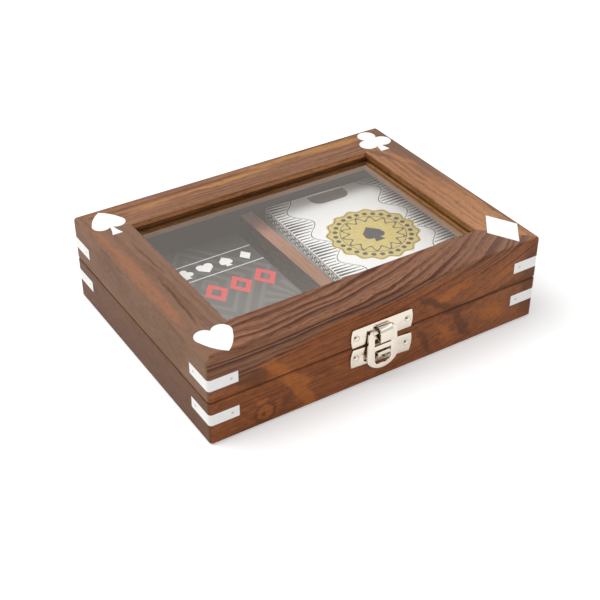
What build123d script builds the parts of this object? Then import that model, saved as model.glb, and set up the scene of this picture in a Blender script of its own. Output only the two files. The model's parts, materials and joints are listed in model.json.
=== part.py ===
from build123d import *
import os
from math import cos, radians, sin, tan

# A hardwood box for two packs of playing cards, with a glazed lid hinged at the back.
# Millimetres, +X right, +Y back, +Z up. The origin is the centre of the underside.

# Packs of cards
card_box_width = 62.5
card_box_length = 88.0
left_card_box_height = 15.0
right_card_box_height = 20.0
card_box_board = 0.5
card_box_bevel = 0.4
card_play = 0.15
card_corner_radius = 3.0
thumb_notch_width = 20.0
thumb_notch_depth = 10.0
thumb_notch_round = 5.0

# Wells and carcase
wall = 7.5
divider_thickness = 6.5
left_well_play = 8.25
right_well_play = 5.25
well_end_play = 17.0
base_height = 20.0
lid_height = 20.0
corner_radius = 1.5
top_round = 1.2
foot_bevel = 0.5
seam_bevel = 0.7
bottom_thickness = 3.5
bottom_rebate = 4.0
divider_housing = 2.0
divider_below_rim = 0.3

# Where the packs lie in the wells
left_pack_side_gap = 0.4
left_pack_front_gap = 7.0
right_pack_side_gap = 0.3
right_pack_front_gap = 8.7
right_pack_turn = -2.1

# Lid frame and glazing, which is let in from below
frame_width = 19.0
rail_depth = 11.0
opening_round = 0.4
lip_depth = 3.5
glass_rebate = 3.0
glass_thickness = 2.0
glass_gap = 0.3
slip_width = 6.0
slip_height = 1.8
slip_round = 0.25

# Suit inlays in the top of the lid, and how far each lies from the two faces at its corner
suit_depth = 1.2
suit_side_bow = 1.2
suit_foot_width = 4.8
suit_neck_width = 1.4
suit_foot_bow = 0.6
heart_width = 15.6
heart_height = 16.4
heart_lobe_radius = 4.2
heart_margins = (2.8, 1.9)
spade_width = 15.0
spade_height = 19.8
spade_leaf_height = 14.6
spade_lobe_radius = 4.0
spade_margins = (3.4, 2.5)
club_lobe_radius = 4.35
club_lobe_spread = 7.8
club_lobe_drop = 7.4
club_height = 20.2
club_margins = (1.4, 1.5)
diamond_width = 15.6
diamond_height = 24.0
diamond_turn = -4.0
diamond_margins = (1.3, 2.1)

# Corner inlays
inlay_height = 5.2
inlay_depth = 1.2
inlay_leg_front = 13.0
inlay_leg_side = 14.4
base_inlay_below_seam = 8.2
lid_inlay_above_seam = 8.4

# Clasp, all in one gauge of sheet
clasp_middle_x = -1.5
clasp_sheet = 0.8
clasp_plate_length = 30.0
clasp_plate_height = 8.7
clasp_end_bow = 0.7
hasp_plate_above_seam = 0.4
catch_plate_below_seam = 1.75
catch_plate_turn = 4.5
clasp_pin_span = 25.0
clasp_pin_radius = 0.65
clasp_pin_length = 6.5
clasp_pin_head_radius = 1.4
clasp_pin_crown_radius = 0.9
clasp_pin_head_height = 0.6
tongue_width = 6.2
tongue_projection = 3.55
tongue_roll_radius = 3.0
tongue_roll_above_seam = 4.6
tongue_fold_radius = 1.0
tongue_fold_above_seam = 1.3
tongue_end_gap = 0.25
hasp_pivot_above_seam = 4.9
hasp_shift = -0.7
hasp_bar_radius = 0.9
hasp_bar_gap = 0.08
hasp_bar_hold = 0.6
hasp_top_width = 13.4
hasp_top_rise = 0.85
hasp_top_round = 1.3
hasp_foot_width = 15.0
hasp_foot_drop = 13.0
hasp_length = 17.5
hasp_slot_width = 8.0
hasp_crossbar_drop = 6.5
hasp_crossbar_height = 2.1
hasp_window_width = 7.8
hasp_window_height = 7.0
hasp_window_round = 2.4
hasp_rest_angle = 3.0
staple_width = 6.0
staple_height = 5.0
staple_projection = 2.2
staple_bend = 0.9
staple_knee = 0.6
staple_drop = 12.5
staple_slit_width = 0.5
staple_slit_length = 3.6
staple_slit_turn = 45.0

# Butt hinges
lid_stop_angle = 102.0
hinge_from_end = 35.0
hinge_length = 20.0
hinge_leaf_thickness = 1.0
hinge_leaf_depth = 4.5
hinge_barrel_radius = 1.5
hinge_barrel_gap = 0.3
hinge_pin_radius = 0.7
hinge_running_gap = 0.04
hinge_middle_knuckle = 7.4
hinge_knuckle_gap = 0.1
hinge_end_gap = 0.2
hinge_screw_span = 13.0
hinge_screw_radius = 0.6
hinge_screw_head_radius = 1.2
hinge_screw_rim = 0.1
hinge_screw_length = 6.0
fastener_sides = 12

# Worked out from the sizes above: the box is 160 by 120 by 40 over all.
left_well = card_box_width + left_well_play
right_well = card_box_width + right_well_play
box_length = 2 * wall + divider_thickness + left_well + right_well
box_width = 2 * wall + card_box_length + well_end_play
box_height = base_height + lid_height
half_length = box_length / 2
half_width = box_width / 2
well_x = (wall - half_length, half_length - wall)
well_y = (wall - half_width, half_width - wall)
divider_x = (well_x[0] + left_well, well_x[0] + left_well + divider_thickness)
opening_length = box_length - 2 * frame_width
opening_width = box_width - 2 * frame_width
rail_bottom = box_height - rail_depth
glass_top = box_height - lip_depth
glass_bottom = glass_top - glass_thickness
slip_bottom = glass_bottom - slip_height
base_inlay_z = base_height - base_inlay_below_seam
lid_inlay_z = base_height + lid_inlay_above_seam

# The seam's bevelled edges meet when the lid reaches its stop, which sets the hinge axis.
hinge_y = half_width - seam_bevel / tan(radians(lid_stop_angle / 2))
hinge_leaf_back = hinge_y - hinge_barrel_radius - hinge_barrel_gap
hinge_leaf_front = hinge_leaf_back - hinge_leaf_depth
hinge_centres = {"left": hinge_from_end - half_length, "right": half_length - hinge_from_end}

# The hasp's bar lies inside the rolled tongue, against the plate.
clasp_face = -half_width - clasp_sheet
roll_y = clasp_face - tongue_projection + tongue_roll_radius
roll_z = base_height + tongue_roll_above_seam
fold_y = clasp_face - tongue_projection + tongue_fold_radius
fold_z = base_height + tongue_fold_above_seam
hasp_x = clasp_middle_x + hasp_shift
pivot_y = clasp_face - hasp_bar_gap - hasp_bar_radius
pivot_z = base_height + hasp_pivot_above_seam
hasp_plate_low = base_height + hasp_plate_above_seam
hasp_plate_z = hasp_plate_low + clasp_plate_height / 2
catch_plate_z = base_height - catch_plate_below_seam - clasp_plate_height / 2
staple_z = pivot_z - staple_drop

sides = ("front", "back", "left", "right")
corners = {"front_left": (-1, -1), "front_right": (1, -1), "back_left": (-1, 1), "back_right": (1, 1)}


def block(x, y, z):
    """A box given by its two limits along each axis."""
    centre = Pos((x[0] + x[1]) / 2, (y[0] + y[1]) / 2, (z[0] + z[1]) / 2)
    return centre * Box(x[1] - x[0], y[1] - y[0], z[1] - z[0])


def centred_block(length, width, z):
    """A box centred in plan, between two heights."""
    return block((-length / 2, length / 2), (-width / 2, width / 2), z)


def level_edges(solid, z, reach_x, reach_y):
    """The edges at one height whose middles lie within a reach of the centre in plan."""
    level = [edge for edge in solid.edges() if abs(edge.center().Z - z) < 1e-4]
    return ShapeList(e for e in level if abs(e.center().X) < reach_x and abs(e.center().Y) < reach_y)


def peg(radius, length):
    """A small fastener's shank or head, down from the origin, with as few sides as it needs."""
    return extrude(RegularPolygon(radius, fastener_sides), -length)


def plan_prism(z):
    """The box's plan, with its rounded corners, between two heights."""
    plan = RectangleRounded(box_length, box_width, corner_radius)
    return Pos(0, 0, z[0]) * extrude(plan, z[1] - z[0])


def outline_edges(body, z):
    """The edges round a carcase at one height."""
    return level_edges(body, z, box_length, box_width)


def mitre_wedge(side):
    """The share of the plan that belongs to one side of a mitred frame."""
    inner = half_length - half_width
    outlines = {
        "front": [(-half_length, -half_width), (half_length, -half_width), (inner, 0), (-inner, 0)],
        "back": [(-half_length, half_width), (half_length, half_width), (inner, 0), (-inner, 0)],
        "left": [(-half_length, -half_width), (-half_length, half_width), (-inner, 0)],
        "right": [(half_length, -half_width), (half_length, half_width), (inner, 0)],
    }
    return extrude(make_face(Polyline(*outlines[side], close=True)), box_height)


def mitred(frame, name):
    """The four mitred sides of a closed frame, by name."""
    return {name.format(side): frame & mitre_wedge(side) for side in sides}


# Woodwork

def bottom_panel():
    """The floor, let into a rebate and flush with the underside."""
    length = well_x[1] - well_x[0] + 2 * bottom_rebate
    width = well_y[1] - well_y[0] + 2 * bottom_rebate
    return centred_block(length, width, (0, bottom_thickness))


def divider():
    """The board between the wells, housed in the front and back walls."""
    y = (well_y[0] - divider_housing, well_y[1] + divider_housing)
    return block(divider_x, y, (bottom_thickness, base_height - divider_below_rim))


def base_frame():
    """The base's four walls as one ring, with the rebate and the divider's housings."""
    ring = plan_prism((0, base_height))
    ring = chamfer(outline_edges(ring, 0), foot_bevel)
    ring = chamfer(outline_edges(ring, base_height), seam_bevel)
    return ring - block(well_x, well_y, (0, base_height)) - bottom_panel() - divider()


def lid_frame():
    """The lid's four rails as one ring: lip, glass rebate and skirt."""
    ring = plan_prism((base_height, box_height))
    ring = chamfer(outline_edges(ring, base_height), seam_bevel)
    ring = fillet(outline_edges(ring, box_height), top_round)
    ring -= centred_block(opening_length, opening_width, (base_height, box_height))
    edge_x = opening_length / 2 + opening_round
    edge_y = opening_width / 2 + opening_round
    ring = fillet(level_edges(ring, box_height, edge_x, edge_y), opening_round)
    ring -= glazing_block(glass_rebate, (base_height, glass_top))
    return ring - block(well_x, well_y, (base_height, rail_bottom))


def glazing_block(reach, z):
    """A block that reaches beyond the opening on all four sides, between two heights."""
    return centred_block(opening_length + 2 * reach, opening_width + 2 * reach, z)


def lid_glass():
    """The pane, laid into the rebate against the lip."""
    return glazing_block(glass_rebate - glass_gap, (glass_bottom, glass_top))


def slip_frame():
    """The flat slips that hold the glass up against the lip, as one ring."""
    z = (slip_bottom, glass_bottom)
    inner_reach = glass_rebate - slip_width
    ring = glazing_block(glass_rebate, z) - glazing_block(inner_reach, z)
    edge_x = opening_length / 2 + inner_reach + slip_round
    edge_y = opening_width / 2 + inner_reach + slip_round
    return fillet(level_edges(ring, slip_bottom, edge_x, edge_y), slip_round)


# White inlays

def suit_leaf(width, height, lobe_radius):
    """Two lobes that draw in to a point, which is towards the front."""
    shoulder_y = height / 2 - lobe_radius
    tip = (0, -height / 2)
    left_side = SagittaArc((-width / 2, shoulder_y), tip, -suit_side_bow)
    right_side = SagittaArc(tip, (width / 2, shoulder_y), -suit_side_bow)
    across = Line((-width / 2, shoulder_y), (width / 2, shoulder_y))
    lobes = [Pos(s * (width / 2 - lobe_radius), shoulder_y) * Circle(lobe_radius) for s in (-1, 1)]
    return make_face([left_side, right_side, across]) + lobes


def suit_foot(bottom, top):
    """The flared foot of a spade or club, between two heights."""
    foot = suit_foot_width / 2
    neck = suit_neck_width / 2
    left_flare = SagittaArc((-foot, bottom), (-neck, top), -suit_foot_bow)
    right_flare = SagittaArc((neck, top), (foot, bottom), -suit_foot_bow)
    ends = [Line((-foot, bottom), (foot, bottom)), Line((-neck, top), (neck, top))]
    return make_face([left_flare, right_flare, *ends])


def heart():
    """A heart, point towards the front."""
    return suit_leaf(heart_width, heart_height, heart_lobe_radius)


def spade():
    """A spade, point towards the back."""
    leaf = Rot(0, 0, 180) * suit_leaf(spade_width, spade_leaf_height, spade_lobe_radius)
    leaf_y = (spade_height - spade_leaf_height) / 2
    lobe_y = leaf_y - spade_leaf_height / 2 + spade_lobe_radius
    return Pos(0, leaf_y) * leaf + suit_foot(-spade_height / 2, lobe_y)


def club():
    """A club, its single lobe towards the back."""
    lobe = Circle(club_lobe_radius)
    top_y = club_height / 2 - club_lobe_radius
    low_lobes = [Pos(s * club_lobe_spread / 2, top_y - club_lobe_drop) * lobe for s in (-1, 1)]
    return Pos(0, top_y) * lobe + low_lobes + suit_foot(-club_height / 2, top_y)


def diamond():
    """A diamond, set a little askew."""
    tips_x = [(0, -diamond_height / 2), (diamond_width / 2, 0)]
    tips = tips_x + [(-x, -y) for x, y in tips_x]
    return Rot(0, 0, diamond_turn) * make_face(Polyline(*tips, close=True))


def suit_inlays():
    """The four suits, let flush into the corners of the lid."""
    placed = {
        "inlay_heart": (heart(), "front_left", heart_margins),
        "inlay_spade": (spade(), "back_left", spade_margins),
        "inlay_club": (club(), "back_right", club_margins),
        "inlay_diamond": (diamond(), "front_right", diamond_margins),
    }
    made = {}
    for name, (shape, corner, margins) in placed.items():
        side_x, side_y = corners[corner]
        reach = shape.bounding_box().size
        x = side_x * (half_length - margins[0] - reach.X / 2)
        y = side_y * (half_width - margins[1] - reach.Y / 2)
        made[name] = Pos(x, y, box_height - suit_depth) * extrude(shape, suit_depth)
    return made


def corner_inlays(name, middle_z):
    """Four flush L-shaped inlays at one height, one round each corner."""
    z = (middle_z - inlay_height / 2, middle_z + inlay_height / 2)
    skin = plan_prism(z) - centred_block(box_length - 2 * inlay_depth, box_width - 2 * inlay_depth, z)
    made = {}
    for corner, (side_x, side_y) in corners.items():
        x = sorted((side_x * half_length, side_x * (half_length - inlay_leg_front)))
        y = sorted((side_y * half_width, side_y * (half_width - inlay_leg_side)))
        made[name.format(corner)] = skin & block(x, y, z)
    return made


# Hinges, modelled closed, with their axis on the seam

def leaf_heights(upward):
    """The heights of a leaf that lies on the seam, above it or below it."""
    return sorted((base_height, base_height + upward * hinge_leaf_thickness))


def hinge_rod(centre_x, radius, length):
    """A rod on the hinge axis."""
    return Pos(centre_x, hinge_y, base_height) * Rot(0, 90, 0) * Cylinder(radius, length)


def hinge_knuckle(x, upward):
    """A length of barrel and the stretch of leaf that carries it."""
    barrel = hinge_rod((x[0] + x[1]) / 2, hinge_barrel_radius, x[1] - x[0])
    return barrel + block(x, (hinge_leaf_back, hinge_y), leaf_heights(upward))


def hinge_leaf(centre_x, upward):
    """The lid's leaf has the middle knuckle, which turns; the base's has the outer two."""
    half = hinge_length / 2
    middle = hinge_middle_knuckle / 2
    outer = middle + hinge_knuckle_gap
    spans = [(-middle, middle)] if upward > 0 else [(-half, -outer), (outer, half)]
    bore = hinge_pin_radius + (hinge_running_gap if upward > 0 else 0)
    leaf = block((-half, half), (hinge_leaf_front, hinge_leaf_back), leaf_heights(upward))
    for span in spans:
        leaf += hinge_knuckle(span, upward)
    return Pos(centre_x, 0, 0) * (leaf - hinge_rod(0, bore, hinge_length))


def hinge_screws(upward):
    """Two countersunk screws for each leaf, their heads flush with it."""
    countersink = hinge_screw_head_radius - hinge_screw_radius
    head = peg(hinge_screw_head_radius, countersink + hinge_screw_rim)
    head = chamfer(head.faces().sort_by(Axis.Z)[0].edges(), countersink)
    screw = head + peg(hinge_screw_radius, hinge_screw_length)
    screw = Rot(180 if upward > 0 else 0, 0, 0) * screw
    y = (hinge_leaf_front + hinge_leaf_back) / 2
    places = [(x + s * hinge_screw_span / 2, y) for x in hinge_centres.values() for s in (-1, 1)]
    return [Pos(x, y, base_height) * screw for x, y in places]


def hinge_room(upward):
    """What is cut from a rim for the leaves and barrels."""
    room = []
    barrel_room = hinge_barrel_radius + hinge_barrel_gap
    for centre_x in hinge_centres.values():
        x = (centre_x - hinge_length / 2, centre_x + hinge_length / 2)
        room.append(block(x, (hinge_leaf_front, half_width), leaf_heights(upward)))
        room.append(hinge_rod(centre_x, barrel_room, hinge_length + 2 * hinge_end_gap))
    return room


# Clasp, on the front face

def clasp_plate():
    """The outline of a plate with bowed ends, in X and Z, centred on its middle."""
    straight = clasp_plate_length / 2 - clasp_end_bow
    rise = clasp_plate_height / 2
    edges = [Line((-straight, z), (straight, z)) for z in (-rise, rise)]
    left_end = SagittaArc((-straight, rise), (-straight, -rise), -clasp_end_bow)
    right_end = SagittaArc((straight, rise), (straight, -rise), clasp_end_bow)
    return make_face([*edges, left_end, right_end])


def clasp_pins(middle_z, turn):
    """The two round-head pins of a plate."""
    head = Cone(clasp_pin_head_radius, clasp_pin_crown_radius, clasp_pin_head_height)
    shank = peg(clasp_pin_radius, clasp_pin_length)
    pin = Rot(90, 0, 0) * (shank + Pos(0, 0, clasp_pin_head_height / 2) * head)
    plate = Pos(clasp_middle_x, clasp_face, middle_z) * Rot(0, turn, 0)
    return [plate * Pos(s * clasp_pin_span / 2, 0, 0) * pin for s in (-1, 1)]


def across_clasp(sketch, width):
    """A form drawn in Y and Z, centred on the clasp."""
    return Pos(clasp_middle_x - width / 2, 0, 0) * extrude(Plane.YZ * sketch, width)


def tongue_section(inset):
    """The tongue in Y and Z: from the plate out to a fold, up, and rolled back over the bar."""
    roll = Pos(roll_y, roll_z) * Circle(tongue_roll_radius - inset)
    fold = Pos(fold_y, fold_z) * Circle(tongue_fold_radius - inset)
    reach = 2 * tongue_roll_radius
    in_front = Pos(clasp_face - reach / 2, roll_z) * Rectangle(reach, 2 * reach)
    return make_hull(roll.edges() + fold.edges()) & in_front


def hasp_plate(pins):
    """The upper plate, its tongue rolled forward round the hasp's bar."""
    plate = Pos(clasp_middle_x, -half_width, hasp_plate_z) * extrude(Plane.XZ * clasp_plate(), clasp_sheet)
    tongue = across_clasp(tongue_section(0), tongue_width)
    bore = across_clasp(tongue_section(clasp_sheet), tongue_width)
    slot_x = (clasp_middle_x - tongue_width / 2, clasp_middle_x + tongue_width / 2)
    slot = block(slot_x, (clasp_face - tongue_end_gap, clasp_face), (pivot_z, roll_z + tongue_roll_radius))
    return plate + tongue - bore - slot - pins


def hasp_outline():
    """The pear-shaped outline of the hasp in X and Z, from the middle of its bar."""
    top = hasp_top_width / 2
    foot = hasp_foot_width / 2
    bottom = ThreePointArc((-foot, -hasp_foot_drop), (0, -hasp_length), (foot, -hasp_foot_drop))
    flanks = [Line((s * top, hasp_top_rise), (s * foot, -hasp_foot_drop)) for s in (-1, 1)]
    outline = make_face([bottom, *flanks, Line((-top, hasp_top_rise), (top, hasp_top_rise))])
    return fillet(outline.vertices().sort_by(Axis.Y)[-2:], hasp_top_round)


def hasp_window():
    """The opening that snaps over the staple, round at its foot."""
    middle_z = -hasp_crossbar_drop - hasp_crossbar_height - hasp_window_height / 2
    window = Pos(0, middle_z) * Rectangle(hasp_window_width, hasp_window_height)
    return fillet(window.vertices().sort_by(Axis.Y)[:2], hasp_window_round)


def hasp():
    """The hasp at rest, slid to the left on its bar and just clear of the staple."""
    slot_z = (hasp_top_rise - hasp_crossbar_drop) / 2
    slot = Pos(0, slot_z) * Rectangle(hasp_slot_width, hasp_top_rise + hasp_crossbar_drop)
    sheet = extrude(Plane.XZ * (hasp_outline() - slot - hasp_window()), clasp_sheet / 2, both=True)
    bar = Rot(0, 90, 0) * Cylinder(hasp_bar_radius, hasp_slot_width + 2 * hasp_bar_hold)
    return Pos(hasp_x, pivot_y, pivot_z) * Rot(-hasp_rest_angle, 0, 0) * (sheet + bar)


def staple_section(inset):
    """The staple in Y and Z: a swelling ramp below, a round nose, square above."""
    low = staple_z - staple_height / 2 + 1.5 * inset
    high = staple_z + staple_height / 2 - inset
    back = -half_width + inset
    bend = Circle(staple_bend - inset)
    foot = Pos((clasp_face + back) / 2, (low + high) / 2) * Rectangle(back - clasp_face, high - low)
    nose = Pos(clasp_face - staple_projection + staple_bend, high + inset - staple_bend) * bend
    knee = Pos(clasp_face - staple_knee, staple_z) * bend
    return make_hull(foot.edges() + nose.edges() + knee.edges())


def catch_plate(pins):
    """The lower plate, with a staple lanced and pressed out of it."""
    place = Pos(clasp_middle_x, -half_width, catch_plate_z) * Rot(0, catch_plate_turn, 0)
    plate = place * extrude(Plane.XZ * clasp_plate(), clasp_sheet)
    arch = across_clasp(staple_section(0), staple_width)
    hollow = across_clasp(staple_section(clasp_sheet), staple_width)
    slit = Rot(0, staple_slit_turn, 0) * Box(staple_slit_length, staple_projection, staple_slit_width)
    slit = Pos(clasp_middle_x, clasp_face - staple_projection / 2, staple_z) * slit
    return plate + arch - hollow - slit - pins


# Packs of cards

def card_box(height):
    """A folded board box, open only at the thumb notch in its top."""
    outside = Pos(0, 0, height / 2) * Box(card_box_width, card_box_length, height)
    outside = chamfer(outside.edges(), card_box_bevel)
    board = 2 * card_box_board
    inside = Pos(0, 0, height / 2) * Box(card_box_width - board, card_box_length - board, height - board)
    notch = RectangleRounded(thumb_notch_width, 2 * thumb_notch_depth, thumb_notch_round)
    notch = Pos(0, card_box_length / 2) * notch
    notch &= Rectangle(card_box_width - board, card_box_length - board)
    return outside - inside - Pos(0, 0, height - card_box_board) * extrude(notch, card_box_board)


def cards(height):
    """The stack of cards inside a box of one height."""
    gap = 2 * (card_box_board + card_play)
    plan = RectangleRounded(card_box_width - gap, card_box_length - gap, card_corner_radius)
    return Pos(0, 0, gap / 2) * extrude(plan, height - gap)


def packs():
    """Both packs, lying on the floor of their wells, the left one face down."""
    turn = radians(abs(right_pack_turn))
    right_half_x = (card_box_width * cos(turn) + card_box_length * sin(turn)) / 2
    right_half_y = (card_box_length * cos(turn) + card_box_width * sin(turn)) / 2
    left_x = well_x[0] + left_pack_side_gap + card_box_width / 2
    left_y = well_y[0] + left_pack_front_gap + card_box_length / 2
    right_x = divider_x[1] + right_pack_side_gap + right_half_x
    right_y = well_y[0] + right_pack_front_gap + right_half_y
    left = Pos(left_x, left_y, bottom_thickness + left_card_box_height) * Rot(0, 180, 0)
    right = Pos(right_x, right_y, bottom_thickness) * Rot(0, 0, right_pack_turn)
    return {
        "left_card_box": left * card_box(left_card_box_height),
        "left_cards": left * cards(left_card_box_height),
        "right_card_box": right * card_box(right_card_box_height),
        "right_cards": right * cards(right_card_box_height),
    }


def build_base():
    """The base: walls, floor, divider, inlays, hinge leaves and catch plate."""
    inlays = corner_inlays("base_inlay_{}", base_inlay_z)
    screws = hinge_screws(-1)
    catch_pins = clasp_pins(catch_plate_z, catch_plate_turn)
    walls = base_frame() - list(inlays.values()) - hinge_room(-1) - screws - catch_pins
    nodes = {**mitred(walls, "base_{}_wall"), **inlays}
    for side, centre_x in hinge_centres.items():
        nodes[f"hinge_{side}_base_leaf"] = hinge_leaf(centre_x, -1) - screws
        nodes[f"hinge_{side}_pin"] = hinge_rod(centre_x, hinge_pin_radius, hinge_length)
    nodes["base_bottom_panel"] = bottom_panel()
    nodes["base_divider"] = divider()
    nodes["base_hinge_screws"] = Compound(children=screws)
    nodes["catch_plate"] = catch_plate(catch_pins)
    nodes["catch_plate_pins"] = Compound(children=catch_pins)
    return nodes


def build_lid():
    """The lid: rails, glass, slips, inlays, hinge leaves and hasp plate."""
    suits = suit_inlays()
    inlays = corner_inlays("lid_inlay_{}", lid_inlay_z)
    screws = hinge_screws(1)
    plate_pins = clasp_pins(hasp_plate_z, 0)
    rails = lid_frame() - list(suits.values()) - list(inlays.values())
    rails = rails - hinge_room(1) - screws - plate_pins
    nodes = {**mitred(rails, "lid_{}_rail"), **mitred(slip_frame(), "glass_slip_{}"), **suits, **inlays}
    for side, centre_x in hinge_centres.items():
        nodes[f"hinge_{side}_lid_leaf"] = hinge_leaf(centre_x, 1) - screws
    nodes["lid_glass"] = lid_glass()
    nodes["lid_hinge_screws"] = Compound(children=screws)
    nodes["hasp_plate"] = hasp_plate(plate_pins)
    nodes["hasp_plate_pins"] = Compound(children=plate_pins)
    return nodes


os.makedirs("parts", exist_ok=True)
for node, shape in {**build_base(), **build_lid(), "hasp": hasp(), **packs()}.items():
    export_step(shape, f"parts/{node}.step")
print(f"box {box_length:.1f} by {box_width:.1f} by {box_height:.1f} mm")
print(f"hinge axis at y {hinge_y:.4f}, z {base_height:.4f}")
print(f"hasp pivot at y {pivot_y:.4f}, z {pivot_z:.4f}")
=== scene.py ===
import json
from math import cos, pi, radians, sin, tau

import bmesh
import bpy
from mathutils import Matrix, Vector

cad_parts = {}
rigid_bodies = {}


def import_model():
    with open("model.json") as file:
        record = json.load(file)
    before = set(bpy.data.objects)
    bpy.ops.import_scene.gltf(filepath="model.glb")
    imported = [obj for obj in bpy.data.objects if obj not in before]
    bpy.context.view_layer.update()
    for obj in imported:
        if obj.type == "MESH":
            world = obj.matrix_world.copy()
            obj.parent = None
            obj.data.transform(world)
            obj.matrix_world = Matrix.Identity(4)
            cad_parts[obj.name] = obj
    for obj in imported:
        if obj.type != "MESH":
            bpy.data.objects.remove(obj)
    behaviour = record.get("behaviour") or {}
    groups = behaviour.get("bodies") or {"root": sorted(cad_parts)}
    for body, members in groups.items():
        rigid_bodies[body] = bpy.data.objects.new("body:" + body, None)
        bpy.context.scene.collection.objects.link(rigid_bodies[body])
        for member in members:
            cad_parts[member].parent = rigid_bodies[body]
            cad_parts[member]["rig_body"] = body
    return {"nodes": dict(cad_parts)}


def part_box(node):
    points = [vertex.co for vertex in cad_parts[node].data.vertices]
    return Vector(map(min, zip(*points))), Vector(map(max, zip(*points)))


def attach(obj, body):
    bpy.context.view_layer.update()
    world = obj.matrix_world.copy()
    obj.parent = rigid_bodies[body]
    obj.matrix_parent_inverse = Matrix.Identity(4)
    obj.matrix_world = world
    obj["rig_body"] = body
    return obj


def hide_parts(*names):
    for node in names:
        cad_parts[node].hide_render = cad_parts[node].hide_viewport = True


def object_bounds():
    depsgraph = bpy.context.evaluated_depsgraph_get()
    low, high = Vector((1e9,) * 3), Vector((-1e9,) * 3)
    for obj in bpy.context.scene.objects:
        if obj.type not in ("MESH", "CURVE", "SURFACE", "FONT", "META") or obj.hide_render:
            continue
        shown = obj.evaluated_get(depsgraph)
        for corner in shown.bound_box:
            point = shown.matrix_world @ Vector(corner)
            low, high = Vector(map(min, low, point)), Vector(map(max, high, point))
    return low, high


# The looks of a hardwood box for two packs of playing cards. Metres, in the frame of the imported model.
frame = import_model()
cad_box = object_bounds()

MM = 0.001

# The box, in millimetres from its middle and up from its underside
FRONT_FACE_Y = -60.0
TOP_Z = 40.0
TOP_FROM_Z = 38.9
TOP_FULL_Z = 39.5
SEAM_Z = 20.0
OUTSIDE_FROM_X = 79.0
OUTSIDE_FROM_Y = 59.0
WELL_HALF_LENGTH = 72.6
WELL_HALF_WIDTH = 52.6
RAIL_BOTTOM_Z = 29.1
REBATE_HALF_LENGTH = 64.1
REBATE_HALF_WIDTH = 44.1
LIP_HALF_LENGTH = 61.0
LIP_HALF_WIDTH = 41.0
LIP_FACE_MARGIN = 0.2
LIP_BOTTOM_Z = 36.6
LIP_EDGE_FROM_Z = 39.3
LIP_EDGE_FULL_Z = 39.7
# Heights of the painted shadow lines at the foot of the back and right lips
BACK_LIP_SHADOW_LINE_Z = 37.4
RIGHT_LIP_SHADOW_LINE_Z = 36.7
DIVIDER_TOP_Z = 19.6
RIGHT_PACK_TURN = -2.1

# Camera, as fitted to the corners of the box in the photograph
PHOTO_SIZE = 600
FOCAL_PIXELS = 1186.0
CAMERA_AZIMUTH = 32.33
CAMERA_ELEVATION = 35.15
CAMERA_OFFSET = (0.00158, 0.01472, 0.51691)
SENSOR = 36.0
CLIP_START = 0.01

# Light and floor
AMBIENT_STRENGTH = 0.496
KEY_POWER = 9.0
FILL_POWER = 2.2
FLOOR_SIZE = 3.0
FLOOR_DROP = 0.0004
FLOOR_GREY = 0.78
FLOOR_LIFT = 0.34
FLOOR_FAR_LIFT = 0.35
FLOOR_NEAR_RADIUS = 0.22
FLOOR_FAR_RADIUS = 0.80
PANEL_LIGHT = 0.76
DARK_PANEL_DEPTH = 0.93


class Value:
    """A number that a node tree works out. Sums and products of values add Math nodes."""

    def __init__(self, graph, socket):
        self.graph = graph
        self.socket = socket

    def __add__(self, other):
        return self.graph.math("ADD", self, other)

    def __sub__(self, other):
        return self.graph.math("SUBTRACT", self, other)

    def __rsub__(self, other):
        return self.graph.math("SUBTRACT", other, self)

    def __mul__(self, other):
        return self.graph.math("MULTIPLY", self, other)

    def __neg__(self):
        return self.graph.math("MULTIPLY", self, -1.0)

    def __abs__(self):
        return self.graph.math("ABSOLUTE", self)


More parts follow.
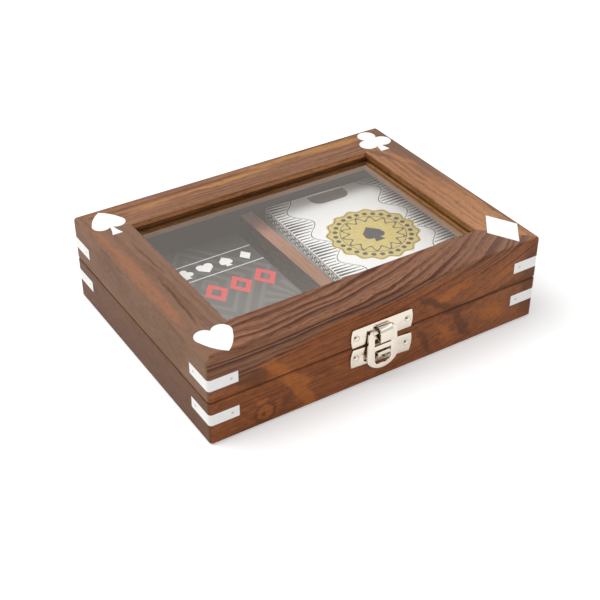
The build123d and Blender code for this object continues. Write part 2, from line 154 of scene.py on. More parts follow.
class Graph:
    """A node tree. Most methods add one node and return what it gives."""

    def __init__(self, tree):
        self.tree = tree
        self.tree.nodes.clear()

    def node(self, kind, **settings):
        node = self.tree.nodes.new(kind)
        for key, value in settings.items():
            setattr(node, key, value)
        return node

    def feed(self, socket, value):
        if isinstance(value, Value):
            self.tree.links.new(value.socket, socket)
        elif isinstance(value, tuple) and len(value) == 3 and socket.type == "RGBA":
            socket.default_value = (*value, 1.0)
        else:
            socket.default_value = value

    def math(self, operation, *terms):
        node = self.node("ShaderNodeMath", operation=operation)
        for socket, term in zip(node.inputs, terms):
            self.feed(socket, term)
        return Value(self, node.outputs[0])

    def largest(self, *values):
        result = values[0]
        for value in values[1:]:
            result = self.math("MAXIMUM", result, value)
        return result

    def coordinates(self, kind="Object"):
        """The three coordinates of the surface, as values."""
        texture = self.node("ShaderNodeTexCoord")
        parts = self.node("ShaderNodeSeparateXYZ")
        self.tree.links.new(texture.outputs[kind], parts.inputs[0])
        return [Value(self, output) for output in parts.outputs]

    def place(self):
        """Where the surface lies in the row frame, in millimetres."""
        return [part * (1.0 / MM) for part in self.coordinates()]

    def vector(self, x, y, z):
        node = self.node("ShaderNodeCombineXYZ")
        for socket, part in zip(node.inputs, (x, y, z)):
            self.feed(socket, part)
        return Value(self, node.outputs[0])

    def noise(self, x, y, z, detail=2.0, roughness=0.5):
        """Noise from 0 to 1, with features about one unit across."""
        node = self.node("ShaderNodeTexNoise")
        self.feed(node.inputs["Vector"], self.vector(x, y, z))
        node.inputs["Scale"].default_value = 1.0
        node.inputs["Detail"].default_value = detail
        node.inputs["Roughness"].default_value = roughness
        return Value(self, node.outputs["Fac"])

    def rise(self, value, low, high):
        """0 below low and 1 above high, with a smooth step between."""
        node = self.node("ShaderNodeMapRange", interpolation_type="SMOOTHSTEP")
        self.feed(node.inputs["Value"], value)
        node.inputs["From Min"].default_value = low
        node.inputs["From Max"].default_value = high
        return Value(self, node.outputs["Result"])

    def line(self, value, centre, width):
        """1 where the value is within half a width of the centre, and 0 elsewhere."""
        return self.math("COMPARE", value, centre, width / 2)

    def below(self, value, limit):
        return self.math("LESS_THAN", value, limit)

    def above(self, value, limit):
        return self.math("GREATER_THAN", value, limit)

    def cosine(self, value):
        return self.math("COSINE", value)

    def length(self, a, b):
        return self.math("SQRT", a * a + b * b)

    def ramp(self, value, *stops):
        """A colour that follows the value through stops of (place, colour)."""
        node = self.node("ShaderNodeValToRGB")
        self.feed(node.inputs[0], value)
        elements = node.color_ramp.elements
        while len(elements) < len(stops):
            elements.new(0.5)
        for element, (spot, colour) in zip(elements, stops):
            element.position = spot
            element.color = (*colour, 1.0)
        return Value(self, node.outputs[0])

    def mix(self, share, first, second):
        """The first colour where the share is 0, and the second where it is 1."""
        node = self.node("ShaderNodeMix", data_type="RGBA")
        self.feed(node.inputs[0], share)
        self.feed(node.inputs[6], first)
        self.feed(node.inputs[7], second)
        return Value(self, node.outputs[2])

    def bump(self, height, depth, strength=1.0):
        node = self.node("ShaderNodeBump")
        node.inputs["Strength"].default_value = strength
        node.inputs["Distance"].default_value = depth
        self.feed(node.inputs["Height"], height)
        return Value(self, node.outputs["Normal"])

    def shader(self, kind, **inputs):
        """A shader node with its sockets set by name, with _ for each blank."""
        node = self.node(kind)
        for name, value in inputs.items():
            self.feed(node.inputs[name.replace("_", " ")], value)
        return Value(self, node.outputs[0])

    def principled(self, **inputs):
        return self.shader("ShaderNodeBsdfPrincipled", **inputs)

    def mix_shaders(self, share, first, second):
        node = self.node("ShaderNodeMixShader")
        self.feed(node.inputs[0], share)
        self.tree.links.new(first.socket, node.inputs[1])
        self.tree.links.new(second.socket, node.inputs[2])
        return Value(self, node.outputs[0])

    def add_shaders(self, first, second):
        node = self.node("ShaderNodeAddShader")
        self.tree.links.new(first.socket, node.inputs[0])
        self.tree.links.new(second.socket, node.inputs[1])
        return Value(self, node.outputs[0])

    def light_path(self, *rays):
        """1 for the kinds of ray named, and 0 for the others."""
        path = self.node("ShaderNodeLightPath")
        return self.largest(*[Value(self, path.outputs[ray]) for ray in rays])

    def output(self, shader, kind="ShaderNodeOutputMaterial"):
        self.tree.links.new(shader.socket, self.node(kind).inputs[0])


def new_material(name):
    material = bpy.data.materials.new(name)
    material.use_nodes = True
    return material, Graph(material.node_tree)


def dress(node, material):
    """Gives a CAD node another material in the slots that it has."""
    for slot in frame["nodes"][node].material_slots:
        slot.material = material


# Wood. A board's grain turns a place on the box into millimetres along the fibres, across the growth
# rings and through the board, and its tones are the colours of dark, middle and light wood.

def grain_along_x(x, y, z):
    return x, y, z


def grain_along_y(x, y, z):
    return y, x, z


def grain_of_front(x, y, z):
    """Rings that run level at the left and sweep back and up towards the right end."""
    graph = x.graph
    right = graph.largest(x + 20.0, 0.0)
    sweep = x * 0.06 + right * right * 0.0036
    across = (y - FRONT_FACE_Y) - (TOP_Z - z) * 1.6 - sweep
    return x, across, z


def oval(graph, a, b, centre, turn, length, width):
    """1 in the middle of an oval patch, fading out past its edge."""
    da = a - centre[0]
    db = b - centre[1]
    along = da * (cos(radians(turn)) / length) + db * (sin(radians(turn)) / length)
    across = db * (cos(radians(turn)) / width) - da * (sin(radians(turn)) / width)
    return graph.math("EXPONENT", -(along * along + across * across))


def patches(graph, x, z, marks, seed, sway=10.0, drift=8.0):
    """Brushed patches with ragged edges, from marks of (centre, turn, length, width, strength)."""
    a = x + (graph.noise(x * 0.08, z * 0.13, seed, detail=3.0) - 0.5) * sway
    b = z + (graph.noise(x * 0.10, z * 0.12, seed + 6.0, detail=3.0) - 0.5) * drift
    total = 0.0
    for centre, turn, length, width, strength in marks:
        total = oval(graph, a, b, centre, turn, length, width) * strength + total
    ragged = graph.noise(x * 0.16, z * 0.9, seed + 3.0, detail=3.0, roughness=0.65) - 0.5
    return graph.rise(total + ragged * 0.42, 0.18, 0.62)


# Marks on the front board, in millimetres along and up the face
FRONT_DARK_MARKS = [
    ((-61.0, 25.5), -28, 10.0, 4.6, 0.85),
    ((-75.0, 30.0), 0, 10.0, 9.0, 0.50),
    ((-70.0, 12.0), 20, 9.0, 5.0, 0.40),
    ((-46.5, 6.5), 65, 9.0, 3.0, 0.50),
    ((-28.0, 15.0), -12, 11.0, 4.0, 0.36),
    ((23.5, 26.5), -30, 11.0, 2.0, 0.85),
    ((52.0, 20.5), 4, 24.0, 1.8, 0.62),
    ((40.5, 10.5), -56, 11.0, 2.6, 0.85),
    ((20.5, 9.5), -56, 10.0, 2.2, 0.70),
    ((77.0, 20.0), 90, 26.0, 7.0, 0.70),
]
FRONT_AMBER_MARKS = [
    ((-51.5, 27.0), -40, 9.0, 3.4, 0.80),
    ((-42.0, 15.0), -35, 8.0, 3.4, 0.95),
    ((-37.5, 5.0), -60, 7.0, 3.0, 0.80),
    ((-57.5, 11.5), -30, 5.0, 2.4, 0.60),
    ((-8.0, 24.0), 12, 14.0, 4.0, 0.45),
    ((-20.0, 12.0), -20, 10.0, 4.0, 0.40),
    ((31.0, 9.0), -56, 10.0, 3.0, 0.65),
    ((57.0, 10.0), -20, 12.0, 5.0, 0.60),
    ((34.0, 29.0), 16, 14.0, 3.0, 0.70),
    ((62.0, 28.0), 14, 9.0, 2.2, 0.55),
]
KNOT_CENTRE = (-55.6, 5.6)


def inside_share(graph, x, y, z):
    """1 on the faces that look into the wells or lie behind the glass."""
    well = graph.below(abs(x), WELL_HALF_LENGTH) * graph.below(abs(y), WELL_HALF_WIDTH)
    rebate = graph.below(abs(x), REBATE_HALF_LENGTH) * graph.below(abs(y), REBATE_HALF_WIDTH)
    return graph.largest(well * graph.below(z, RAIL_BOTTOM_Z), rebate * graph.below(z, LIP_BOTTOM_Z))


def wood(name, grain, face, top=None, seed=0.0, ring=4.4, ring_depth=1.0, wave=1.0,
         shade=0.42, stroke_depth=0.16, top_mix=None, ring_mask=None, overlays=None, sheen=0.16,
         inside=True):
    """Varnished hardwood with growth rings, fibres and pores.

    The tones of face and top are (dark, middle, light). The overlays are (share, colour).
    """
    material, graph = new_material(name)
    x, y, z = graph.place()
    along, across, through = grain(x, y, z)

    # Growth rings that wander a little, some of them dark and some faint
    drift = graph.noise(along * 0.012, across * 0.035, through * 0.03 + seed, detail=1.5) - 0.5
    wander = graph.noise(along * 0.045, across * 0.11, through * 0.10 + seed, detail=2.0) - 0.5
    rings = across + drift * (13.0 * wave) + wander * (4.0 * wave)
    spacing = graph.noise(rings * 0.11, along * 0.002, seed + 9.0, detail=1.0) * 2.6
    turn = graph.math("FRACT", rings * (1.0 / ring) + spacing)
    late = graph.rise(turn, 0.22, 0.80) - graph.rise(turn, 0.88, 1.0)
    weight = graph.rise(graph.noise(rings * 0.17, along * 0.008, seed + 4.0), 0.32, 0.60)
    fine_turn = graph.math("FRACT", rings * (3.7 / ring) + spacing * 1.7)
    fine = graph.rise(fine_turn, 0.35, 0.90) - graph.rise(fine_turn, 0.92, 1.0)
    stripes = late * (weight * 0.75 + 0.25) + fine * 0.24 - 0.42
    if ring_mask:
        stripes = stripes * ring_mask(graph, x, y, z)

    # Fibres, short dark strokes and soft clouds
    fine_z = through * 1.5 + seed
    fibres = graph.noise(along * 0.11, rings * 1.5, fine_z, detail=4.0, roughness=0.66) - 0.5
    dashes = graph.noise(along * 0.24, rings * 1.3, fine_z + 3.0, detail=2.0) - 0.5
    strokes = graph.rise(dashes, 0.06, 0.15)
    cloud = graph.noise(along * 0.022, across * 0.06, through * 0.06 + seed + 2.0, detail=3.0) - 0.5
    darkness = stripes * (0.62 * ring_depth) + fibres * 0.6 + strokes * stroke_depth
    darkness = darkness + cloud * 0.5 + shade

    # The tones of the faces and of the top, and what lies over them
    dark, middle, light = face
    colour = graph.ramp(darkness, (0.10, light), (0.48, middle), (0.90, dark))
    if top:
        top_colour = graph.ramp(darkness, (0.10, top[2]), (0.48, top[1]), (0.90, top[0]))
        colour = graph.mix((top_mix or top_share)(graph, x, y, z), colour, top_colour)
    for share, overlay in (overlays(graph, x, y, z) if overlays else []):
        colour = graph.mix(share * (1.0 - strokes * 0.45 - fibres * 0.8), colour, overlay)

    # Pores, the shade along the seam, and the shade inside
    deep = tuple(part * 0.40 for part in dark)
    pore_noise = graph.noise(along * 0.32, rings * 4.4, through * 4.4 + seed, detail=2.0, roughness=0.6)
    pores = graph.rise(pore_noise, 0.60, 0.70)
    colour = graph.mix(pores * 0.50, colour, deep)
    seam = 1.0 - graph.rise(abs(z - SEAM_Z), 0.15, 0.50)
    outside = graph.largest(graph.above(abs(x), OUTSIDE_FROM_X), graph.above(abs(y), OUTSIDE_FROM_Y))
    colour = graph.mix(seam * outside * 0.65, colour, deep)
    if inside:
        colour = graph.mix(inside_share(graph, x, y, z) * 0.92, colour, INSIDE_SHADE)

    graph.output(graph.principled(
        Base_Color=colour,
        Roughness=fibres * 0.20 + pores * 0.15 + 0.40,
        Specular_IOR_Level=sheen,
        Normal=graph.bump(fibres * 0.6 - pores * 0.9, 0.05 * MM, 0.5),
    ))
    return material


def top_share(graph, x, y, z):
    """1 on top of the lid and 0 on its faces."""
    return graph.rise(z, TOP_FROM_Z, TOP_FULL_Z)


def front_top_share(graph, x, y, z):
    """The tones of the top also run a little way down the front face, and further at its left end."""
    left = graph.largest(-x - 25.0, 0.0)
    right = graph.largest(x, 0.0)
    ragged = graph.noise(x * 0.10, z * 0.55, 2.0, detail=3.0, roughness=0.6) * 7.0
    down = (TOP_Z - z) - left * 0.23 + right * 0.05 + ragged
    return 1.0 - graph.rise(down, 6.5, 9.0)


def front_ring_mask(graph, x, y, z):
    """The rings show on top of the front rail and fade a little way down its face."""
    left = graph.largest(-x - 25.0, 0.0)
    down = (TOP_Z - z) - left * 0.25 - x * 0.03
    return 1.0 - graph.rise(down, 4.0, 9.0) * 0.70


def front_overlays(graph, x, y, z):
    """The mottling, the dark and amber patches and the knot, all on the front face."""
    face = 1.0 - graph.rise(y - FRONT_FACE_Y, 0.2, 1.4)
    low = face * (1.0 - front_top_share(graph, x, y, z) * 0.8)
    mottle = graph.noise(x * 0.26, z * 0.42, 40.0, detail=3.0, roughness=0.6)
    amber = patches(graph, x, z, FRONT_AMBER_MARKS, 2.0) * (mottle * 0.9 + 0.45)
    dark = patches(graph, x, z, FRONT_DARK_MARKS, 5.0) * (1.25 - mottle * 0.6)
    warm = graph.rise(mottle, 0.50, 0.66)
    dull = 1.0 - graph.rise(mottle, 0.34, 0.48)
    pale = graph.rise(x, 0.0, 70.0)

    reach = graph.length(x - KNOT_CENTRE[0], (z - KNOT_CENTRE[1]) * 1.1)
    reach = reach + graph.noise(x * 0.3, z * 0.3, 1.0, detail=3.0) * 3.6 - 1.8
    body = 1.0 - graph.rise(reach, 2.6, 4.2)
    rim = graph.rise(reach, 3.0, 4.4) - graph.rise(reach, 4.6, 6.0)
    heart = 1.0 - graph.rise(graph.length(x - KNOT_CENTRE[0] + 0.9, z - KNOT_CENTRE[1] + 0.7), 0.5, 1.5)
    return [
        (pale * face * 0.25, (0.290, 0.125, 0.060)),
        (graph.rise(x, 20.0, 80.0) * (1.0 - face) * 0.35, (0.300, 0.175, 0.120)),
        (warm * low * 0.30, (0.400, 0.120, 0.022)),
        (dull * low * 0.32, (0.130, 0.050, 0.022)),
        (amber * low * 0.75, (0.440, 0.135, 0.026)),
        (dark * low * 0.75, (0.095, 0.030, 0.010)),
        (body * face * 0.50, (0.380, 0.120, 0.024)),
        (rim * face * 0.55, (0.085, 0.022, 0.006)),
        (heart * face * 0.70, (0.060, 0.016, 0.005)),
    ]


# Marks on top of the other rails, in millimetres along each rail and across the box
BACK_GOLD_MARKS = [
    ((30.0, 56.0), 0, 30.0, 1.8, 0.85),
    ((-8.0, 52.5), 0, 24.0, 1.6, 0.75),
    ((60.0, 54.0), 0, 16.0, 2.4, 0.60),
    ((-48.0, 51.0), 0, 15.0, 2.2, 0.50),
]
BACK_GREY_MARKS = [
    ((-30.0, 57.5), 0, 22.0, 1.6, 0.70),
    ((14.0, 47.0), 0, 26.0, 2.0, 0.55),
    ((66.0, 50.0), 0, 10.0, 6.0, 0.60),
]
RIGHT_GREY_MARKS = [
    ((50.0, 72.0), -24, 14.0, 7.0, 0.85),
    ((35.0, 66.0), -22, 12.0, 1.6, 0.75),
    ((-30.0, 79.0), 0, 34.0, 2.0, 0.70),
]
RIGHT_AMBER_MARKS = [
    ((28.0, 71.0), -20, 14.0, 2.2, 0.70),
    ((4.0, 67.0), -16, 16.0, 2.0, 0.60),
    ((-18.0, 73.0), -16, 14.0, 2.0, 0.50),
]
LEFT_AMBER_MARKS = [
    ((8.0, -76.0), 0, 22.0, 3.0, 0.90),
    ((-22.0, -76.5), 0, 16.0, 2.2, 0.75),
    ((38.0, -77.0), 0, 12.0, 1.6, 0.60),
]
LEFT_VEIN_MARKS = [
    ((-20.0, -70.6), 4, 20.0, 0.9, 0.75),
    ((14.0, -67.0), -3, 18.0, 0.8, 0.55),
]


def lip_painted_shadow_and_light(graph, x, y, z, line_z, painted_light_share=0.0):
    """A painted shadow line at the foot of the lip's inner face, and a painted light band above it."""
    half_length = LIP_HALF_LENGTH + LIP_FACE_MARGIN
    half_width = LIP_HALF_WIDTH + LIP_FACE_MARGIN
    lip = graph.below(abs(x), half_length) * graph.below(abs(y), half_width)
    up = z - line_z
    # Painted shadow: a dark line where the lip meets the glass
    line = graph.rise(up, -0.40, -0.15) - graph.rise(up, 0.15, 0.40)
    # Painted light: a lighter band over the lip's shaded face, above the line
    band = graph.rise(up, 0.25, 0.50) - graph.rise(z, LIP_EDGE_FROM_Z, LIP_EDGE_FULL_Z)
    return [
        (lip * band * painted_light_share, (0.620, 0.270, 0.110)),
        (lip * line * 0.75, (0.070, 0.026, 0.009)),
    ]


def back_overlays(graph, x, y, z):
    """Golden streaks and greyer ones that run along the back rail."""
    top = top_share(graph, x, y, z)
    gold = patches(graph, x, y, BACK_GOLD_MARKS, 12.0, 8.0, 4.0)
    grey = patches(graph, x, y, BACK_GREY_MARKS, 15.0, 8.0, 4.0)
    return [
        (gold * top * 0.80, (0.450, 0.215, 0.065)),
        (grey * top * 0.70, (0.190, 0.085, 0.045)),
    # Painted shadow line and painted light band on the back lip
    ] + lip_painted_shadow_and_light(graph, x, y, z, BACK_LIP_SHADOW_LINE_Z, painted_light_share=0.80)


def right_overlays(graph, x, y, z):
    """The right rail is paler near the front and greyer at its far corner, with amber streaks."""
    top = top_share(graph, x, y, z)
    amber = patches(graph, y, x, RIGHT_AMBER_MARKS, 18.0, 8.0, 5.0)
    grey = patches(graph, y, x, RIGHT_GREY_MARKS, 21.0, 8.0, 5.0)
    near = 1.0 - graph.rise(y, -48.0, 20.0)
    ragged = graph.noise(y * 0.10, x * 0.5, 33.0, detail=3.0) * 4.0 - 2.0
    far = graph.rise(x + y * 0.08 + ragged, 71.0, 77.0) * graph.rise(y, -25.0, 30.0)
    return [
        (near * top * 0.45, (0.520, 0.255, 0.125)),
        (far * top * 0.70, (0.125, 0.078, 0.060)),
        (amber * top * 0.60, (0.430, 0.178, 0.066)),
        (grey * top * 0.85, (0.160, 0.080, 0.050)),
    # Painted shadow line on the right lip
    ] + lip_painted_shadow_and_light(graph, x, y, z, RIGHT_LIP_SHADOW_LINE_Z)


def left_overlays(graph, x, y, z):
    """Amber patches and dark veins that run along the left rail."""
    top = top_share(graph, x, y, z)
    amber = patches(graph, y, x, LEFT_AMBER_MARKS, 24.0, 8.0, 3.0)
    vein = patches(graph, y, x, LEFT_VEIN_MARKS, 27.0, 6.0, 3.0)
    return [
        (amber * top * 0.60, (0.345, 0.148, 0.080)),
        (vein * top * 0.60, (0.070, 0.026, 0.012)),
    ]


# Tones of dark, middle and light wood, as matched to each face in the photograph
FRONT_TOP_TONES = ((0.068, 0.018, 0.007), (0.157, 0.065, 0.034), (0.291, 0.130, 0.068))
FRONT_TONES = ((0.107, 0.025, 0.005), (0.235, 0.068, 0.017), (0.370, 0.122, 0.034))
LEFT_TOP_TONES = ((0.142, 0.070, 0.040), (0.208, 0.117, 0.078), (0.275, 0.150, 0.098))
LEFT_LID_TONES = ((0.128, 0.054, 0.026), (0.206, 0.101, 0.052), (0.260, 0.150, 0.092))
LEFT_BASE_TONES = ((0.090, 0.032, 0.010), (0.136, 0.057, 0.026), (0.180, 0.084, 0.045))
BACK_TOP_TONES = ((0.137, 0.047, 0.015), (0.269, 0.126, 0.067), (0.400, 0.215, 0.115))
RIGHT_TOP_TONES = ((0.169, 0.072, 0.031), (0.313, 0.141, 0.065), (0.436, 0.215, 0.100))
LIP_TONES = ((0.090, 0.030, 0.008), (0.260, 0.110, 0.040), (0.400, 0.190, 0.075))
SLIP_TONES = ((0.090, 0.034, 0.010), (0.190, 0.078, 0.028), (0.290, 0.135, 0.055))
# Painted light: a pale tone that lifts the slips where they lie in shade under the lip
UNDER_LIP_PAINTED_LIGHT = (0.745, 0.345, 0.100)
INTERIOR_TONES = ((0.200, 0.090, 0.040), (0.300, 0.130, 0.062), (0.370, 0.175, 0.090))
INSIDE_SHADE = (0.026, 0.013, 0.008)


def divider_overlays(graph, x, y, z):
    """The divider's top is paler towards the back, and its sides lie in the shade of the wells."""
    return [
        (graph.rise(y, 0.0, 50.0) * 0.85, (0.640, 0.330, 0.260)),
        (graph.below(z, DIVIDER_TOP_Z), INSIDE_SHADE),
    ]


def slip_painted_light(graph, x, y, z):
    """The slips are painted paler where they lie under the lip, as painted light against its shade."""
    under = graph.largest(graph.above(abs(x), LIP_HALF_LENGTH), graph.above(abs(y), LIP_HALF_WIDTH))
    return [(under * 0.8, UNDER_LIP_PAINTED_LIGHT)]


def dress_wood():
    """Gives each board its own wood, with the grain along the board."""
    front = wood("walnut_front", grain_of_front, FRONT_TONES, FRONT_TOP_TONES, seed=1.0, ring=4.2,
                 ring_depth=1.15, shade=0.48, stroke_depth=0.24, top_mix=front_top_share,
                 ring_mask=front_ring_mask, overlays=front_overlays)
    left_lid = wood("walnut_left_lid", grain_along_y, LEFT_LID_TONES, LEFT_TOP_TONES, seed=7.0, ring=5.2,
                    ring_depth=0.35, sheen=0.06, overlays=left_overlays)
    left_base = wood("walnut_left_base", grain_along_y, LEFT_BASE_TONES, seed=7.4, ring=5.2,
                     ring_depth=0.35, sheen=0.06)
    back = wood("walnut_back", grain_along_x, LIP_TONES, BACK_TOP_TONES, seed=13.0, ring=3.0,
                ring_depth=0.6, wave=0.5, shade=0.62, stroke_depth=0.20, overlays=back_overlays)
    right = wood("walnut_right", grain_along_y, LIP_TONES, RIGHT_TOP_TONES, seed=19.0, ring=3.4,
                 ring_depth=0.60, wave=0.9, shade=0.46, stroke_depth=0.26, overlays=right_overlays)
    slip_x = wood("walnut_slip_x", grain_along_x, SLIP_TONES, seed=23.0, ring=2.0, wave=0.2,
                  overlays=slip_painted_light, inside=False)
    slip_y = wood("walnut_slip_y", grain_along_y, SLIP_TONES, seed=29.0, ring=2.0, wave=0.2,
                  overlays=slip_painted_light, inside=False)
    bottom = wood("interior_bottom", grain_along_x, INTERIOR_TONES, seed=31.0, ring=6.0,
                  ring_depth=0.6)
    divider = wood("interior_divider", grain_along_y, INTERIOR_TONES, seed=37.0, ring=3.0,
                   ring_depth=0.6, wave=0.4, overlays=divider_overlays, inside=False)
    boards = {
        "lid_front_rail": front,
        "base_front_wall": front,
        "lid_left_rail": left_lid,
        "base_left_wall": left_base,
        "lid_back_rail": back,
        "base_back_wall": back,
        "lid_right_rail": right,
        "base_right_wall": right,
        "glass_slip_front": slip_x,
        "glass_slip_back": slip_x,
        "glass_slip_left": slip_y,
        "glass_slip_right": slip_y,
        "base_bottom_panel": bottom,
        "base_divider": divider,
    }
    for node, material in boards.items():
        dress(node, material)


def inlay_material():
    """Polished white inlay, a little warm and faintly clouded."""
    material, graph = new_material("white_inlay_polished")
    x, y, z = graph.place()
    cloud = graph.noise(x * 0.16, y * 0.16, z * 0.16, detail=3.0)
    speck = graph.noise(x * 1.9, y * 1.9, z * 1.9, detail=2.0)
    tone = cloud * 0.75 + speck * 0.25
    colour = graph.ramp(tone, (0.3, (0.900, 0.885, 0.865)), (0.7, (0.950, 0.940, 0.925)))
    graph.output(graph.principled(
        Base_Color=colour,
        Roughness=speck * 0.12 + 0.24,
        Specular_IOR_Level=0.35,
        Normal=graph.bump(cloud, 0.04 * MM, 0.25),
    ))
    return material


def nickel(name, tone, roughness):
    """Bright nickel plate with a faint grain and slight waviness."""
    material, graph = new_material(name)
    x, y, z = graph.place()
    wave = graph.noise(x * 0.28, y * 0.28, z * 0.28, detail=2.0)
    grain = graph.noise(x * 1.2, y * 1.2, z * 5.0, detail=3.0)
    colour = graph.ramp(grain, (0.25, tuple(part * 0.90 for part in tone)), (0.75, tone))
    graph.output(graph.principled(
        Base_Color=colour,
        Metallic=1.0,
        Roughness=grain * 0.10 + roughness,
        Normal=graph.bump(wave + grain * 0.08, 0.12 * MM, 0.35),
    ))
    return material


GLASS_IOR = 1.50
GLASS_MIRROR_SHARE = 2.25


def glass_material():
    """A clear pane that mirrors its surroundings by angle and lets everything behind it through."""
    material, graph = new_material("clear_glass_pane")
    x, y, z = graph.place()
    front = 1.0 - Value(graph, graph.node("ShaderNodeNewGeometry").outputs["Backfacing"])
    fresnel = graph.node("ShaderNodeFresnel")
    fresnel.inputs["IOR"].default_value = GLASS_IOR
    haze = graph.noise(x * 0.03, y * 0.03, z, detail=2.0)
    clear = graph.shader("ShaderNodeBsdfTransparent", Color=(0.985, 0.988, 0.985))
    mirror = graph.shader("ShaderNodeBsdfGlossy", Color=(1.0, 0.925, 0.850), Roughness=haze * 0.01)
    share = Value(graph, fresnel.outputs[0]) * front * GLASS_MIRROR_SHARE
    seen = 1.0 - graph.light_path("Is Shadow Ray", "Is Diffuse Ray", "Is Glossy Ray")
    graph.output(graph.mix_shaders(share * seen, clear, mirror))
    return material


# Cards. The prints are plain patterns, laid out in millimetres from the middle of each carton's lid.

CARTON_EDGE = 0.2
RULE_WIDTH = 0.45
THIN_RULE_WIDTH = 0.35

# Black carton
NEST_CENTRE = (0.0, 12.0)
NEST_SIZE = (13.0, 17.0)
NEST_COUNT = 5.0
FAN_CENTRE = (31.0, -20.0)
FAN_BLADES = 22.0
FAN_REACH = 14.0
FAN_WIDTH = 12.0
SUIT_ROW = 25.0
SUIT_PITCH = 10.0
SUIT_SIZE = 7.6
RULES = (31.2, 18.8)
RULE_HALF_LENGTH = 31.2
CHAIN_ROW = 6.0
CHAIN_PITCH = 12.0
CHAIN_LINK = 15.0
CHAIN_HOLE = 7.0

# White carton
SCALLOP_PITCH = 22.0
SCALLOP_DEPTH = 3.6
BAND_FROM = 22.5
BAND_RULE = 21.6
HATCH_PITCH = 2.20
MEDAL_SCALE = 1.10
MEDAL_RADIUS = 19.0
MEDAL_LOBES = 16.0
LOBE_DEPTH = 0.7
MEDAL_RIM = 18.2
BEAD_RING = 15.6
BEAD_COUNT = 28.0
BEAD_RADIUS = 1.05
INNER_RING = 13.6
PETAL_RING = 11.4
PETAL_COUNT = 14.0
PETAL_DEPTH = 1.5
MEDAL_PIP = 12.5
LATTICE_PITCH = 3.6
LATTICE_DROP = 3.0
LATTICE_DEPTH = 5.0
SIDE_RULES = (0.9, 5.2)

# Cards and inks
CARD_THICKNESS = 0.29
CARTON_WHITE = (0.950, 0.945, 0.935)
CARTON_INK = (0.020, 0.020, 0.022)
CHAIN_RED = (0.700, 0.035, 0.045)
PRINT_WHITE = (0.930, 0.930, 0.920)


def pack_frame(graph, centre, turn):
    """Millimetres across and along a pack from its middle, with its turn taken off, and the height."""
    x, y, z = graph.place()
    dx = x - centre.x / MM
    dy = y - centre.y / MM
    across = dx * cos(radians(turn)) + dy * sin(radians(turn))
    along = dy * cos(radians(turn)) - dx * sin(radians(turn))
    return across, along, z


def lozenge(u, v, centre, width, height):
    """How far out a point lies in a lozenge: under 1 is inside."""
    return abs(u - centre[0]) * (2.0 / width) + abs(v - centre[1]) * (2.0 / height)


def disc(graph, u, v, centre, radius):
    """How far out a point lies in a disc: under 1 is inside."""
    return graph.length(u - centre[0], v - centre[1]) * (1.0 / radius)


def spade_pip(graph, u, v, centre, size):
    """1 inside a spade of that height."""
    cu, cv = centre
    leaf = graph.below(lozenge(u, v, (cu, cv + size * 0.10), size * 0.78, size * 0.80), 1.0)
    left = graph.below(disc(graph, u, v, (cu - size * 0.19, cv - size * 0.08), size * 0.21), 1.0)
    right = graph.below(disc(graph, u, v, (cu + size * 0.19, cv - size * 0.08), size * 0.21), 1.0)
    stem_width = (cv - v) * 0.36 + size * 0.02
    stem = graph.below(abs(u - cu), stem_width) * graph.line(v, cv - size * 0.25, size * 0.5)
    return graph.largest(leaf, left, right, stem)


def heart_pip(graph, u, v, centre, size):
    """1 inside a heart of that height."""
    cu, cv = centre
    point = graph.below(lozenge(u, v, (cu, cv - size * 0.04), size * 0.98, size * 0.92), 1.0)
    under = graph.below(v, cv + size * 0.10)
    left = graph.below(disc(graph, u, v, (cu - size * 0.24, cv + size * 0.17), size * 0.27), 1.0)
    right = graph.below(disc(graph, u, v, (cu + size * 0.24, cv + size * 0.17), size * 0.27), 1.0)
    return graph.largest(point * under, left, right)


def club_pip(graph, u, v, centre, size):
    """1 inside a club of that height."""
    cu, cv = centre
    leaves = [(0.0, 0.26), (-0.25, -0.06), (0.25, -0.06)]
    discs = [
        graph.below(disc(graph, u, v, (cu + du * size, cv + dv * size), size * 0.225), 1.0)
        for du, dv in leaves
    ]
    stem_width = (cv - v) * 0.34 + size * 0.05
    stem = graph.below(abs(u - cu), stem_width) * graph.line(v, cv - size * 0.22, size * 0.56)
    return graph.largest(*discs, stem)


def diamond_pip(graph, u, v, centre, size):
    """1 inside a diamond of that height."""
    return graph.below(lozenge(u, v, centre, size * 0.74, size), 1.0)


def board_finish(graph, colour, gloss):
    """Coated card board: smooth, with a faint unevenness."""
    x, y, z = graph.place()
    fibre = graph.noise(x * 0.4, y * 0.4, z * 0.4, detail=2.0)
    return graph.principled(Base_Color=colour, Roughness=fibre * 0.10 + gloss, Specular_IOR_Level=0.40)


